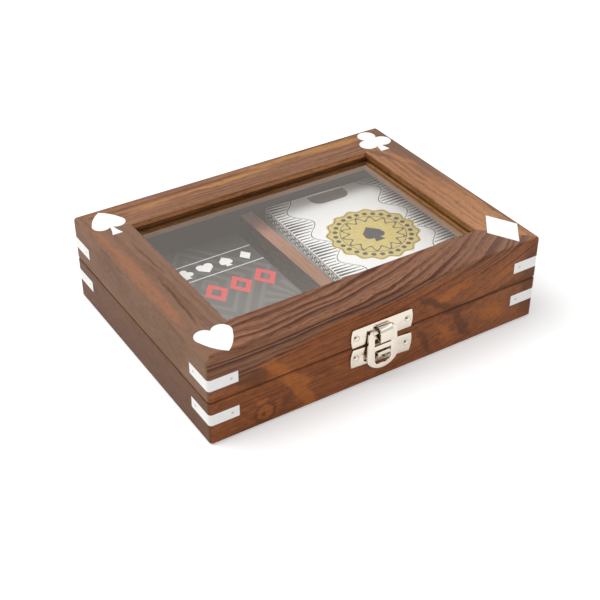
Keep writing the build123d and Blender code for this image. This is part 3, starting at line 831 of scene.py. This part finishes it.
def black_carton_material(centre, top):
    """Black with nested lozenges and fans, a red chain of diamonds and a white row of suits."""
    material, graph = new_material("black_card_board_print")
    u, v, z = pack_frame(graph, centre, 0.0)
    lid = graph.above(z, top / MM - CARTON_EDGE)

    nest = lozenge(u, v, NEST_CENTRE, *NEST_SIZE)
    nest_tone = graph.line(graph.math("FRACT", nest), 0.5, 0.40) * graph.below(nest, NEST_COUNT)
    fan_u, fan_v = abs(u) - FAN_CENTRE[0], v - FAN_CENTRE[1]
    fan_turn = graph.math("FRACT", graph.math("ARCTAN2", fan_u, fan_v) * (FAN_BLADES / tau))
    fan = graph.line(fan_turn, 0.5, 0.5) * graph.line(graph.length(fan_u, fan_v), FAN_REACH, FAN_WIDTH)
    tone = graph.largest(nest_tone, fan) * lid
    # Painted sheen and shade: black and print lighter at the front, darker at the back in the lip's
    # shade
    depth = graph.rise(v, -20.0, 40.0)
    black = graph.mix(depth, (0.070, 0.066, 0.063), (0.040, 0.038, 0.037))
    black = graph.mix(tone, black, graph.mix(depth, (0.125, 0.119, 0.115), (0.080, 0.077, 0.075)))

    suits = [spade_pip, diamond_pip, club_pip, heart_pip, spade_pip, diamond_pip]
    middle = (len(suits) - 1) / 2
    pips = [
        pip(graph, u, v, (SUIT_PITCH * (i - middle), SUIT_ROW), SUIT_SIZE)
        for i, pip in enumerate(suits)
    ]
    rules = [graph.line(v, rule, RULE_WIDTH) * graph.below(abs(u), RULE_HALF_LENGTH) for rule in RULES]
    white = graph.largest(*pips, *rules) * lid
    links = [(CHAIN_PITCH * i, CHAIN_ROW) for i in range(-2, 3)]
    red = graph.largest(*[diamond_pip(graph, u, v, link, CHAIN_LINK) for link in links]) * lid
    holes = graph.largest(*[diamond_pip(graph, u, v, link, CHAIN_HOLE) for link in links])
    colour = graph.mix(red * (1.0 - holes), black, CHAIN_RED)
    colour = graph.mix(white, colour, PRINT_WHITE)
    graph.output(board_finish(graph, colour, 0.36))
    return material


def white_carton_material(centre, top, turn):
    """White with lined side bands, and a scalloped gold medallion round a spade."""
    material, graph = new_material("white_card_board_print")
    u, v, z = pack_frame(graph, centre, turn)
    lid = graph.above(z, top / MM - CARTON_EDGE)
    side = 1.0 - lid

    # Hatched bands along both sides, with a wavy inner edge
    inside_edge = abs(u) + graph.cosine(v * (tau / SCALLOP_PITCH)) * SCALLOP_DEPTH
    hatch = graph.math("FRACT", v * (1.0 / HATCH_PITCH))
    weight = graph.rise(inside_edge, 20.0, 35.0) * 0.50 + 0.16
    lines = graph.below(hatch, weight) * graph.above(inside_edge, BAND_FROM)
    edge_rule = graph.line(inside_edge, BAND_RULE, RULE_WIDTH)

    # A medallion with a rim, beads, a ring, petals and a spade
    reach = graph.length(u, v) * (1.0 / MEDAL_SCALE)
    angle = graph.math("ARCTAN2", u, v)
    outline = reach - graph.cosine(angle * MEDAL_LOBES) * LOBE_DEPTH
    medal = graph.below(outline, MEDAL_RADIUS)
    rim = graph.line(outline, MEDAL_RIM, THIN_RULE_WIDTH)
    bead_turn = graph.math("FRACT", angle * (BEAD_COUNT / tau)) - 0.5
    bead_reach = graph.length(bead_turn * (tau * BEAD_RING / BEAD_COUNT), reach - BEAD_RING)
    beads = graph.below(bead_reach, BEAD_RADIUS)
    petals = graph.line(reach - graph.cosine(angle * PETAL_COUNT) * PETAL_DEPTH, PETAL_RING, 0.9)
    ring = graph.line(reach, INNER_RING, 0.30)
    pip = spade_pip(graph, u, v, (0.0, 0.0), MEDAL_PIP)
    medal_ink = graph.largest(rim, beads, petals, ring, pip) * medal

    # A lattice between two rules round the sides, just under the lid
    down = top / MM - z
    lattice = abs(graph.math("FRACT", v * (1.0 / LATTICE_PITCH)) - 0.5) * 2.0
    side_marks = graph.line(lattice + abs(down - LATTICE_DROP) * 0.55, 0.75, 0.45)
    side_rules = graph.largest(*[graph.line(down, rule, THIN_RULE_WIDTH) for rule in SIDE_RULES])
    side_ink = graph.largest(side_marks * graph.below(down, LATTICE_DEPTH), side_rules) * side

    ink_share = graph.largest(lines, edge_rule) * lid * (1.0 - medal)
    colour = graph.mix(graph.largest(ink_share, side_ink), CARTON_WHITE, CARTON_INK)
    foil = graph.noise(u * 0.5, v * 0.5, 1.0, detail=2.0)
    gold = graph.ramp(foil, (0.3, (0.60, 0.455, 0.120)), (0.7, (0.72, 0.570, 0.180)))
    colour = graph.mix(medal * lid, colour, gold)
    colour = graph.mix(medal_ink * lid, colour, CARTON_INK)
    graph.output(board_finish(graph, colour, 0.30))
    return material


def card_stock_material():
    """The edges of stacked cards, as fine layers, and a plain brownish back."""
    material, graph = new_material("playing_card_stock_layers")
    x, y, z = graph.place()
    layers = graph.math("FRACT", z * (1.0 / CARD_THICKNESS))
    uneven = graph.noise(x * 0.2, y * 0.2, z * 3.0, detail=2.0)
    shade = graph.rise(layers, 0.0, 0.35) * 0.5 + uneven * 0.5
    edges = graph.ramp(shade, (0.1, (0.50, 0.48, 0.45)), (0.8, (0.80, 0.79, 0.76)))
    normal = graph.node("ShaderNodeNewGeometry")
    parts = graph.node("ShaderNodeSeparateXYZ")
    graph.tree.links.new(normal.outputs["Normal"], parts.inputs[0])
    face = graph.above(abs(Value(graph, parts.outputs[2])), 0.7)
    lattice = graph.math("FRACT", (x + y) * 0.5) * graph.math("FRACT", (x - y) * 0.5)
    back = graph.ramp(lattice, (0.2, (0.185, 0.135, 0.110)), (0.5, (0.27, 0.215, 0.180)))
    colour = graph.mix(face, edges, back)
    roughness = uneven * 0.2 + 0.45
    graph.output(graph.principled(Base_Color=colour, Roughness=roughness, Specular_IOR_Level=0.35))
    return material


# Meshes

MERGE_DISTANCE = 0.002 * MM
FLAT_ANGLE = 0.6
EDGE_ANGLE = 32.0
SMOOTH_ANGLE = 40.0
PIN_SMOOTH_ANGLE = 50.0


def new_object(name, mesh):
    obj = bpy.data.objects.new(name, mesh)
    bpy.context.scene.collection.objects.link(obj)
    return obj


def mesh_from(bm, name):
    mesh = bpy.data.meshes.new(name)
    bmesh.ops.recalc_face_normals(bm, faces=bm.faces)
    bm.to_mesh(mesh)
    bm.free()
    return mesh


def smooth(mesh, sharp_angle):
    """Smooth shading, except across edges that turn by more than the angle in degrees."""
    for face in mesh.polygons:
        face.use_smooth = True
    mesh.set_sharp_from_angle(angle=radians(sharp_angle))


def apply_modifiers(obj):
    """Replaces the object's mesh by what its modifiers make of it."""
    evaluated = obj.evaluated_get(bpy.context.evaluated_depsgraph_get())
    mesh = bpy.data.meshes.new_from_object(evaluated)
    obj.modifiers.clear()
    obj.data = mesh


def stand_for(obj, node):
    """The piece rides on the node's body and takes its place, and the node is hidden."""
    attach(obj, frame["nodes"][node]["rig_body"])
    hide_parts(node)


def softened(node, name, material, edge, steps=3):
    """A copy of a CAD node's shape with its edges rounded, which stands for the node."""
    bm = bmesh.new()
    bm.from_mesh(frame["nodes"][node].data)
    bmesh.ops.remove_doubles(bm, verts=bm.verts, dist=MERGE_DISTANCE)
    bmesh.ops.dissolve_limit(bm, angle_limit=radians(FLAT_ANGLE), verts=bm.verts, edges=bm.edges)
    obj = new_object(name, mesh_from(bm, name))
    obj.data.materials.append(material)
    bevel = obj.modifiers.new("edges", "BEVEL")
    bevel.width = edge
    bevel.segments = steps
    bevel.limit_method = "ANGLE"
    bevel.angle_limit = radians(EDGE_ANGLE)
    bevel.use_clamp_overlap = True
    bevel.harden_normals = False
    smooth(obj.data, EDGE_ANGLE)
    apply_modifiers(obj)
    smooth(obj.data, SMOOTH_ANGLE)
    stand_for(obj, node)


def separate_solids(node):
    """The lowest and highest corners of each solid in a node, from left to right."""
    bm = bmesh.new()
    bm.from_mesh(frame["nodes"][node].data)
    bmesh.ops.remove_doubles(bm, verts=bm.verts, dist=MERGE_DISTANCE)
    left = set(bm.verts)
    boxes = []
    while left:
        reached = [left.pop()]
        for vertex in reached:
            for edge in vertex.link_edges:
                other = edge.other_vert(vertex)
                if other in left:
                    left.remove(other)
                    reached.append(other)
        low = Vector([min(v.co[i] for v in reached) for i in range(3)])
        high = Vector([max(v.co[i] for v in reached) for i in range(3)])
        boxes.append((low, high))
    bm.free()
    return sorted(boxes, key=lambda box: (round(box[0].x, 5), box[0].z))


def lathe(bm, profile, matrix, steps=28):
    """Adds the solid that a profile of (radius, height) sweeps round the Z axis of the matrix."""
    rings = []
    for radius, height in profile:
        if radius == 0.0:
            rings.append([bm.verts.new(matrix @ Vector((0.0, 0.0, height)))])
            continue
        angles = [tau * i / steps for i in range(steps)]
        rings.append([
            bm.verts.new(matrix @ Vector((radius * cos(angle), radius * sin(angle), height)))
            for angle in angles
        ])
    for lower, upper in zip(rings, rings[1:]):
        for i in range(steps):
            corners = [lower[i % len(lower)], lower[(i + 1) % len(lower)],
                       upper[(i + 1) % len(upper)], upper[i % len(upper)]]
            bm.faces.new(list(dict.fromkeys(corners)))


def dome(radius, rise, steps=6):
    """The profile of a low dome that ends at the axis."""
    points = []
    for i in range(steps + 1):
        angle = (pi / 2) * i / steps
        points.append((radius * cos(angle) if i < steps else 0.0, rise * sin(angle)))
    return points


# Clasp and hinges

FACING_FRONT = Matrix.Rotation(radians(90), 4, "X")
PLATE_EDGE = 0.16 * MM
HASP_EDGE = 0.22 * MM
LEAF_EDGE = 0.10 * MM
CAD_PIN_HEAD = 0.6 * MM
PIN_HEAD_RADIUS = 1.4 * MM
PIN_HEAD_RISE = 0.75 * MM
PIN_HEAD_RIM = 0.08 * MM
PIN_SHANK_RADIUS = 0.65 * MM


def clasp_pins(node, name, material):
    """Smooth domed pins in the places of the node's own."""
    bm = bmesh.new()
    for low, high in separate_solids(node):
        centre = (low + high) / 2
        seat_y = low.y + CAD_PIN_HEAD
        matrix = Matrix.Translation((centre.x, seat_y, centre.z)) @ FACING_FRONT
        shank = [(0.0, seat_y - high.y), (PIN_SHANK_RADIUS, seat_y - high.y), (PIN_SHANK_RADIUS, 0.0)]
        head = [(PIN_HEAD_RADIUS, 0.0)]
        head += [
            (radius, height + PIN_HEAD_RIM)
            for radius, height in dome(PIN_HEAD_RADIUS, PIN_HEAD_RISE - PIN_HEAD_RIM)
        ]
        lathe(bm, shank + head, matrix)
    obj = new_object(name, mesh_from(bm, name))
    obj.data.materials.append(material)
    smooth(obj.data, PIN_SMOOTH_ANGLE)
    stand_for(obj, node)


def build_clasp():
    plate = nickel("clasp_nickel_bright", (0.81, 0.735, 0.635), 0.09)
    softened("catch_plate", "catch_plate_pressed", plate, PLATE_EDGE)
    softened("hasp_plate", "hasp_plate_pressed", plate, PLATE_EDGE)
    softened("hasp", "hasp_loop", plate, HASP_EDGE)
    clasp_pins("catch_plate_pins", "catch_plate_domed_pins", plate)
    clasp_pins("hasp_plate_pins", "hasp_plate_domed_pins", plate)


def build_hinges():
    steel = nickel("hinge_steel_bright", (0.78, 0.75, 0.71), 0.20)
    for side in ("left", "right"):
        for part in ("base_leaf", "lid_leaf"):
            node = f"hinge_{side}_{part}"
            softened(node, f"{node}_rolled", steel, LEAF_EDGE, steps=2)
        dress(f"hinge_{side}_pin", steel)
    dress("base_hinge_screws", steel)
    dress("lid_hinge_screws", steel)


# Inlays and packs

INLAY_PIN_RADIUS = 0.62 * MM
INLAY_PIN_DEPTH = 1.0 * MM
INLAY_PIN_PROUD = 0.04 * MM
INLAY_PIN_FROM_END = 10.0 * MM
INLAY_PIN_FROM_SIDE = 11.4 * MM


def brass_material():
    """Dull brass with a fine grain."""
    material, graph = new_material("brass_pin")
    x, y, z = graph.place()
    grain = graph.noise(x * 3.0, y * 3.0, z * 3.0)
    colour = graph.ramp(grain, (0.3, (0.60, 0.53, 0.34)), (0.7, (0.74, 0.68, 0.48)))
    graph.output(graph.principled(Base_Color=colour, Metallic=0.8, Roughness=grain * 0.1 + 0.3))
    return material


def inlay_pins(body, level, material):
    """Small brass pins, two to a corner inlay, with their heads filed nearly flush."""
    half_x = cad_box[1].x
    half_y = -FRONT_FACE_Y * MM
    profile = [(0.0, -INLAY_PIN_DEPTH), (INLAY_PIN_RADIUS, -INLAY_PIN_DEPTH), (INLAY_PIN_RADIUS, 0.0)]
    profile += dome(INLAY_PIN_RADIUS * 0.9, INLAY_PIN_PROUD, 3)
    bm = bmesh.new()
    for sx in (-1, 1):
        for sy in (-1, 1):
            end = Matrix.Translation((sx * (half_x - INLAY_PIN_FROM_END), sy * half_y, level))
            lathe(bm, profile, end @ Matrix.Rotation(radians(-90 * sy), 4, "X"), 16)
            side = Matrix.Translation((sx * half_x, sy * (half_y - INLAY_PIN_FROM_SIDE), level))
            lathe(bm, profile, side @ Matrix.Rotation(radians(90 * sx), 4, "Y"), 16)
    obj = new_object(f"{body}_inlay_pins", mesh_from(bm, f"{body}_inlay_pins"))
    obj.data.materials.append(material)
    smooth(obj.data, SMOOTH_ANGLE)
    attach(obj, body)


def build_inlay_pins():
    brass = brass_material()
    for body in ("base", "lid"):
        low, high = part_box(f"{body}_inlay_front_left")
        inlay_pins(body, (low.z + high.z) / 2, brass)


def dress_inlays():
    white = inlay_material()
    for node in frame["nodes"]:
        if "inlay" in node:
            dress(node, white)


def dress_packs():
    low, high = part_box("left_card_box")
    dress("left_card_box", black_carton_material((low + high) / 2, high.z))
    low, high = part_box("right_card_box")
    dress("right_card_box", white_carton_material((low + high) / 2, high.z, RIGHT_PACK_TURN))
    stock = card_stock_material()
    dress("left_cards", stock)
    dress("right_cards", stock)


# Stage

def build_floor():
    """A white floor with a faint glow to the camera and in reflections, stronger far from the box."""
    bm = bmesh.new()
    bmesh.ops.create_grid(bm, x_segments=1, y_segments=1, size=FLOOR_SIZE / 2)
    floor = new_object("floor", mesh_from(bm, "floor"))
    floor.location.z = -FLOOR_DROP
    material, graph = new_material("white_floor")
    matt = graph.shader("ShaderNodeBsdfDiffuse", Color=(FLOOR_GREY, FLOOR_GREY, FLOOR_GREY))
    x, y = graph.coordinates()[:2]
    far = graph.rise(graph.length(x, y), FLOOR_NEAR_RADIUS, FLOOR_FAR_RADIUS)
    seen = graph.light_path("Is Camera Ray", "Is Glossy Ray", "Is Transmission Ray")
    lift = graph.shader("ShaderNodeEmission", Strength=seen * (far * FLOOR_FAR_LIFT + FLOOR_LIFT))
    graph.output(graph.add_shaders(matt, lift))
    floor.data.materials.append(material)


def build_world():
    """White to the camera, a soft light on matt surfaces, and bright and dark panels in reflections."""
    world = bpy.data.worlds.new("studio")
    world.use_nodes = True
    bpy.context.scene.world = world
    graph = Graph(world.node_tree)
    sideways, inwards, height = graph.coordinates("Generated")

    # A brighter band high up, all round
    panel = graph.rise(height, 0.52, 0.62) - graph.rise(height, 0.72, 0.85)

    # A dark panel at the front left, from the horizon nearly to the top
    front_left = graph.rise(-sideways, -0.10, 0.10) * graph.rise(-inwards, 0.0, 0.25)
    dark = front_left * graph.rise(height, -0.05, 0.03) * (1.0 - graph.rise(height, 0.75, 0.90))

    glossy = graph.light_path("Is Glossy Ray")
    seen = graph.light_path("Is Camera Ray", "Is Transmission Ray")
    matt_light = 1.0 - graph.largest(glossy, seen)
    mirrored = glossy * (panel * PANEL_LIGHT + PANEL_LIGHT) * (1.0 - dark * DARK_PANEL_DEPTH)
    strength = seen + mirrored + matt_light * AMBIENT_STRENGTH
    sky = graph.shader("ShaderNodeBackground", Color=(1.0, 1.0, 1.0), Strength=strength)
    graph.output(sky, "ShaderNodeOutputWorld")


def area_light(name, location, size, power):
    """A square lamp that looks at the middle of the box and doesn't show in reflections."""
    light = bpy.data.lights.new(name, "AREA")
    light.size = size
    light.energy = power
    lamp = bpy.data.objects.new(name, light)
    lamp.location = location
    lamp.rotation_euler = (-Vector(location)).to_track_quat("-Z", "Y").to_euler()
    lamp.visible_glossy = False
    bpy.context.scene.collection.objects.link(lamp)


def build_camera():
    """The camera that stands where the photograph was taken from."""
    azimuth, elevation = radians(CAMERA_AZIMUTH), radians(CAMERA_ELEVATION)
    forward = Vector((sin(azimuth) * cos(elevation), cos(azimuth) * cos(elevation), -sin(elevation)))
    right = Vector((cos(azimuth), -sin(azimuth), 0.0))
    up = right.cross(forward)
    middle = Vector((0.0, 0.0, cad_box[1].z / 2))
    camera_data = bpy.data.cameras.new("camera")
    camera_data.sensor_width = SENSOR
    camera_data.sensor_fit = "HORIZONTAL"
    camera_data.lens = FOCAL_PIXELS / PHOTO_SIZE * SENSOR
    camera_data.clip_start = CLIP_START
    camera = bpy.data.objects.new("camera", camera_data)
    dx, dy, dz = CAMERA_OFFSET
    position = middle - (right * dx + up * dy + forward * dz)
    turn = Matrix((right, up, -forward)).transposed().to_4x4()
    camera.matrix_world = Matrix.Translation(position) @ turn
    bpy.context.scene.collection.objects.link(camera)
    bpy.context.scene.camera = camera


bpy.context.scene.view_settings.view_transform = "Standard"
build_camera()
build_world()
build_floor()
area_light("key", (-0.45, 0.25, 0.95), size=0.8, power=KEY_POWER)
area_light("fill", (0.30, -0.95, 0.60), size=0.9, power=FILL_POWER)

dress_wood()
dress_inlays()
dress("lid_glass", glass_material())
dress_packs()
build_clasp()
build_hinges()
build_inlay_pins()
